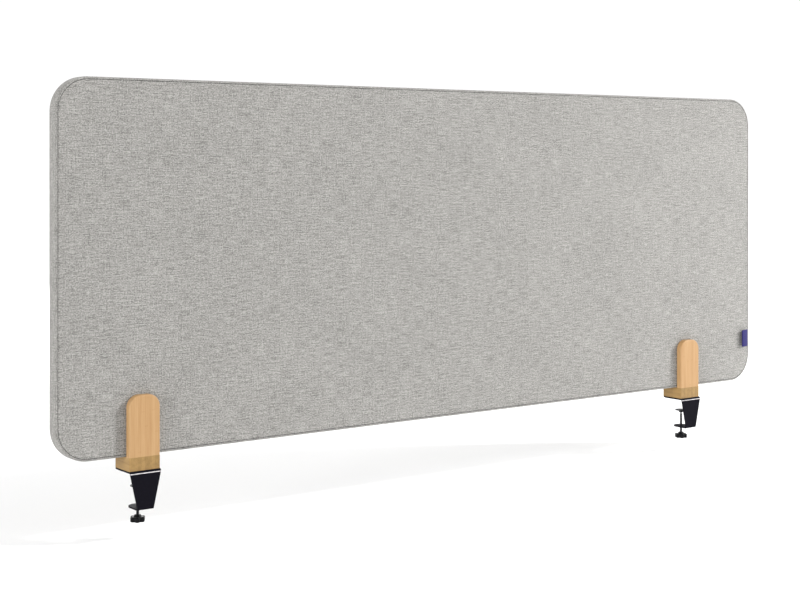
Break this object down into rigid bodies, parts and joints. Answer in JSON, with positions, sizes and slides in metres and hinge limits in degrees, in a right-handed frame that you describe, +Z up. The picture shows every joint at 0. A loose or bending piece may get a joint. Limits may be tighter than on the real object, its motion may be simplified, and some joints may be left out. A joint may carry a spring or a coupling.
{
  "type": "acoustic desk divider screen",
  "caption": "Upholstered acoustic panel with rounded corners, standing in wooden cradles on steel screw clamps that grip the edge of a desk.",
  "frame": {"origin": "in the plane of the desk top, midway along the panel and in its middle plane", "axes": "+X along the panel to the right as seen from its front, +Y from its front to its rear, +Z up"},
  "size_m": [1.6, 0.0531, 0.7078],
  "materials": {
    "fibre_core": "matte",
    "felt_wadding": "matte",
    "melange_fabric": "matte",
    "seam_thread": "matte",
    "blue_ribbon": "satin",
    "bamboo": "satin",
    "dowel_wood": "matte",
    "zinc_screw_steel": "satin",
    "black_powder_coat": "satin",
    "black_rubber": "matte",
    "black_disc_plastic": "satin",
    "black_screw_steel": "satin",
    "black_knob_plastic": "satin"
  },
  "bodies": {
    "panel": {"acoustic_core": "fibre_core", "front_wadding": "felt_wadding", "rear_wadding": "felt_wadding", "front_cover": "melange_fabric", "rear_cover": "melange_fabric", "edge_band": "melange_fabric", "front_seam_thread": "seam_thread", "rear_seam_thread": "seam_thread", "fabric_tag": "blue_ribbon"},
    "left_cradle": {"left_base_block": "bamboo", "left_front_post": "bamboo", "left_rear_post": "bamboo", "left_dowels": "dowel_wood", "left_wood_screws": "zinc_screw_steel", "left_steel_clamp": "black_powder_coat", "left_desk_pad": "black_rubber"},
    "left_pressure_pad": {"left_pressure_disc": "black_disc_plastic"},
    "left_screw": {"left_clamp_screw": "black_screw_steel", "left_star_knob": "black_knob_plastic"},
    "right_cradle": {"right_base_block": "bamboo", "right_front_post": "bamboo", "right_rear_post": "bamboo", "right_dowels": "dowel_wood", "right_wood_screws": "zinc_screw_steel", "right_steel_clamp": "black_powder_coat", "right_desk_pad": "black_rubber"},
    "right_pressure_pad": {"right_pressure_disc": "black_disc_plastic"},
    "right_screw": {"right_clamp_screw": "black_screw_steel", "right_star_knob": "black_knob_plastic"}
  },
  "joints": [
    {"name": "left_cradle_slide", "type": "slide", "parent": "panel", "child": "left_cradle", "axis": [1, 0, 0], "range_m": [-0.06, 0.6]},
    {"name": "left_pad_travel", "type": "slide", "parent": "left_cradle", "child": "left_pressure_pad", "axis": [0, 0, 1], "range_m": [-0.026, 0.0095]},
    {"name": "left_knob_turn", "type": "hinge", "parent": "left_pressure_pad", "child": "left_screw", "pos_m": [-0.654, 0, -0.0279], "axis": [0, 0, 1], "range_deg": [-11700, 4275]},
    {"name": "right_cradle_slide", "type": "slide", "parent": "panel", "child": "right_cradle", "axis": [1, 0, 0], "range_m": [-0.55, 0.11]},
    {"name": "right_pad_travel", "type": "slide", "parent": "right_cradle", "child": "right_pressure_pad", "axis": [0, 0, 1], "range_m": [-0.026, 0.0095]},
    {"name": "right_knob_turn", "type": "hinge", "parent": "right_pressure_pad", "child": "right_screw", "pos_m": [0.602, 0, -0.0279], "axis": [0, 0, 1], "range_deg": [-11700, 4275]}
  ],
  "couplings": [
    {"joint": "left_knob_turn", "follows": "left_pad_travel", "rad_per_m": 7854},
    {"joint": "right_knob_turn", "follows": "right_pad_travel", "rad_per_m": 7854}
  ]
}
